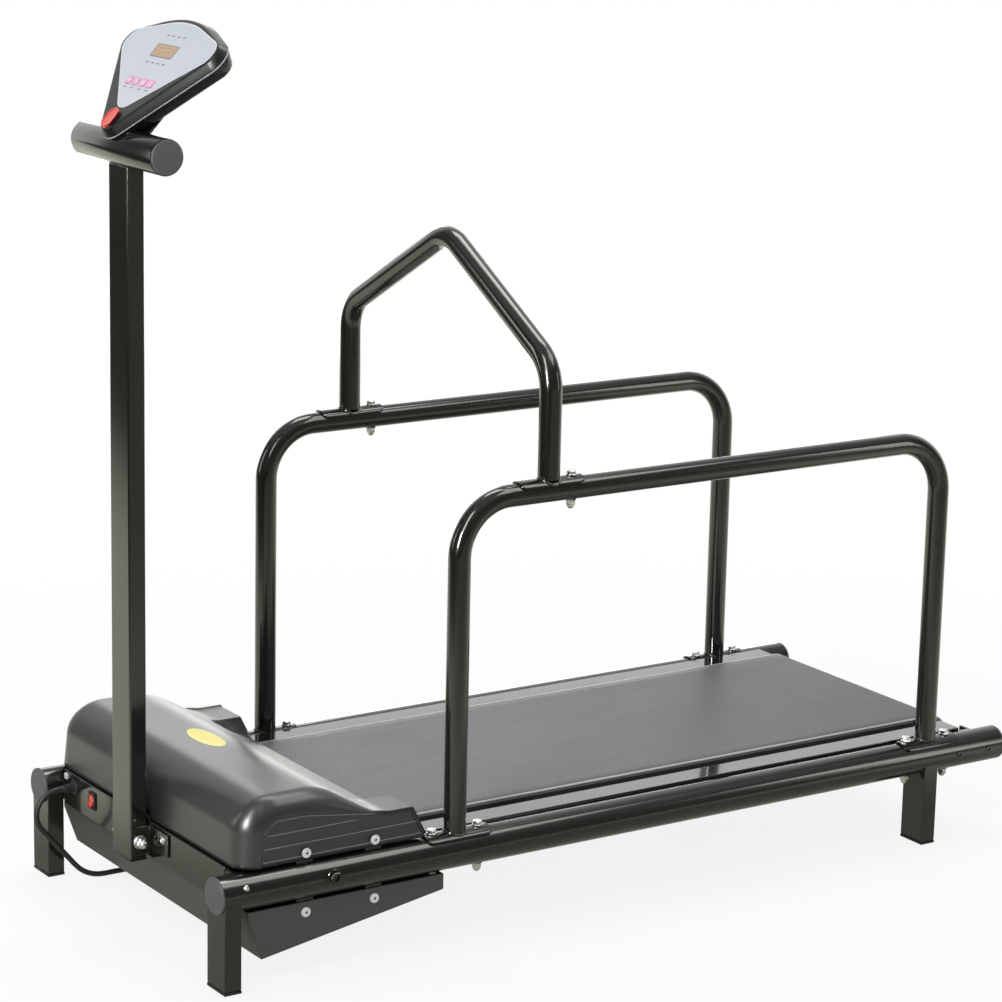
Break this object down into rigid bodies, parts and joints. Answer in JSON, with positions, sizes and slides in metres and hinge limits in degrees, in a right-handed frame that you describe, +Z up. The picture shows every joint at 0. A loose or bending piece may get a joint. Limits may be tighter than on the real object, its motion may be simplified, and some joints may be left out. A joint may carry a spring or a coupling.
{
  "type": "dog treadmill",
  "caption": "Dog treadmill with a tubular frame, side handrails, a harness arch, a motor hood and a console on a post.",
  "frame": {"origin": "on the floor under the middle of the machine, leaving out the mains cord", "axes": "+X towards the open rear end, +Y towards the right-hand rail with the switch and the drive, +Z up"},
  "size_m": [1.4229, 0.6112, 1.2761],
  "materials": {
    "frame_paint": "glossy black paint",
    "ledge_paint": "glossy black paint on flat sheet",
    "belt": "matt woven texture",
    "hood_plastic": "satin moulding",
    "dark_plastic": "fine grain",
    "grey_plug": "smooth",
    "zinc": "bright zinc plating",
    "steel": "turned steel",
    "black_rubber": "matt",
    "board": "smooth board",
    "controller_metal": "cast fins",
    "overlay": "printed film",
    "display": "clear window over an amber display",
    "key_pink": "soft key",
    "stop_red": "smooth"
  },
  "bodies": {
    "frame": {"left_side_rail": "frame_paint", "right_side_rail": "frame_paint", "front_legs": "frame_paint", "rear_legs": "frame_paint", "leg_feet": "black_rubber", "rail_end_caps": "dark_plastic", "cross_braces": "frame_paint", "front_panel": "frame_paint", "cover_tabs": "frame_paint", "left_ledge": "ledge_paint", "right_ledge": "ledge_paint", "deck_board": "board", "deck_cushions": "black_rubber", "running_belt": "belt", "front_axle": "steel", "rear_axle": "steel", "rear_axle_brackets": "frame_paint", "front_axle_bolts": "frame_paint", "rear_bracket_screws": "frame_paint", "tension_bolts": "zinc", "left_handrail": "frame_paint", "right_handrail": "frame_paint", "harness_arch": "frame_paint", "saddle_bolts": "zinc", "saddle_nuts": "zinc", "hood": "hood_plastic", "belly_pan": "frame_paint", "cover_screws": "zinc", "motor_body": "dark_plastic", "motor_bracket": "frame_paint", "drive_belt": "black_rubber", "motor_controller": "controller_metal", "switch_housing": "dark_plastic", "cord_gland": "black_rubber", "cord_run": "black_rubber", "cord_coil": "black_rubber", "cord_plug": "black_rubber", "post_bracket": "frame_paint", "bracket_screws": "zinc", "post_bolt": "zinc", "post": "frame_paint", "console_bar": "frame_paint", "bar_caps": "grey_plug", "console_mount": "frame_paint", "console_back": "dark_plastic", "console_bezel": "dark_plastic", "console_overlay": "overlay", "display_window": "display", "console_screws": "zinc"},
    "front_roller": {"front_roller": "steel", "drive_pulley": "steel"},
    "rear_roller": {"rear_roller": "steel"},
    "motor_rotor": {"motor_rotor": "steel"},
    "power_rocker": {"power_rocker": "stop_red"},
    "key_1": {"key_1": "key_pink"},
    "key_2": {"key_2": "key_pink"},
    "key_3": {"key_3": "key_pink"},
    "key_4": {"key_4": "key_pink"},
    "stop_button": {"stop_button": "stop_red"}
  },
  "joints": [
    {"name": "front_roller_spin", "type": "hinge", "parent": "frame", "child": "front_roller", "pos_m": [-0.51046, 0, 0.1415], "axis": [0, 1, 0], "continuous": true},
    {"name": "rear_roller_spin", "type": "hinge", "parent": "frame", "child": "rear_roller", "pos_m": [0.63554, 0, 0.1415], "axis": [0, 1, 0], "continuous": true},
    {"name": "motor_spin", "type": "hinge", "parent": "frame", "child": "motor_rotor", "pos_m": [-0.59146, 0, 0.186], "axis": [0, 1, 0], "continuous": true},
    {"name": "power_rocker_tilt", "type": "hinge", "parent": "frame", "child": "power_rocker", "pos_m": [-0.64746, 0.152, 0.142], "axis": [0, 1, 0], "range_deg": [-16, 0]},
    {"name": "key_1_press", "type": "slide", "parent": "frame", "child": "key_1", "axis": [0.7314, 0, -0.682], "range_m": [0, 0.0008], "stiffness_N_per_m": 600},
    {"name": "key_2_press", "type": "slide", "parent": "frame", "child": "key_2", "axis": [0.7314, 0, -0.682], "range_m": [0, 0.0008], "stiffness_N_per_m": 600},
    {"name": "key_3_press", "type": "slide", "parent": "frame", "child": "key_3", "axis": [0.7314, 0, -0.682], "range_m": [0, 0.0008], "stiffness_N_per_m": 600},
    {"name": "key_4_press", "type": "slide", "parent": "frame", "child": "key_4", "axis": [0.7314, 0, -0.682], "range_m": [0, 0.0008], "stiffness_N_per_m": 600},
    {"name": "stop_press", "type": "slide", "parent": "frame", "child": "stop_button", "axis": [0.7314, 0, -0.682], "range_m": [0, 0.003], "stiffness_N_per_m": 600}
  ],
  "couplings": [
    {"joint": "rear_roller_spin", "follows": "front_roller_spin", "ratio": 1},
    {"joint": "motor_spin", "follows": "front_roller_spin", "ratio": 2.5714}
  ]
}
